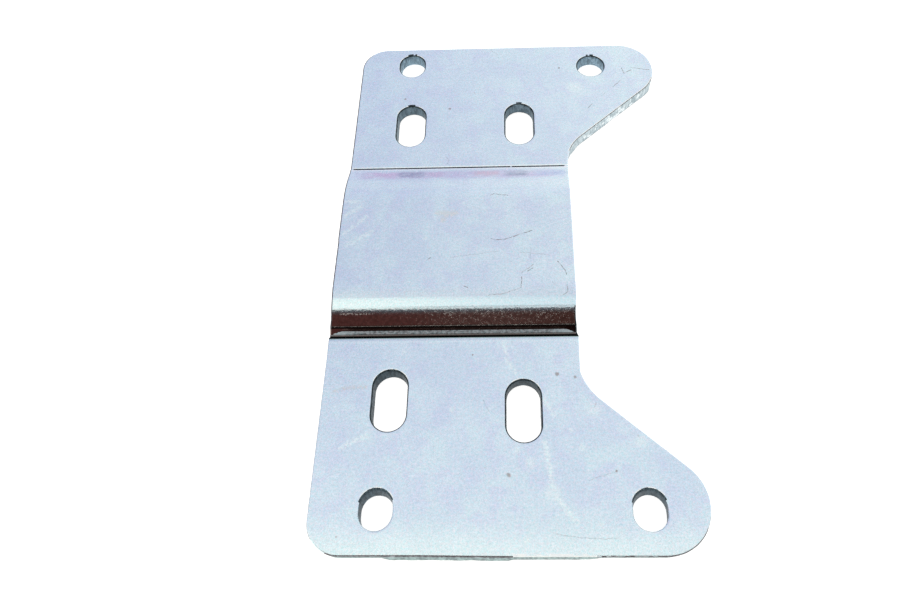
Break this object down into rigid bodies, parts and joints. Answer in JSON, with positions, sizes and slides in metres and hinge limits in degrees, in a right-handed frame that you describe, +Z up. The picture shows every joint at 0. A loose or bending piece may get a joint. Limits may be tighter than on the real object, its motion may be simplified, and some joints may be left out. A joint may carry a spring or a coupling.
{
  "type": "transmission mount plate",
  "caption": "Flat steel adapter plate with a raised bridge between two slotted end flanges and two rounded ears on one side.",
  "frame": {"origin": "centre of the plan's bounding box, on the plane that the two flanges rest on", "axes": "+Y along the plate from the near flange to the far one, +X towards the ears, +Z up out of the flanges towards the bridge"},
  "size_m": [0.1256, 0.2116, 0.0095],
  "materials": {
    "zinc_plated_steel": "bright zinc plating with a faint blue clouding, fine scratches and dark sheared edges"
  },
  "bodies": {
    "root": {"mount_plate": "zinc_plated_steel"}
  },
  "joints": []
}
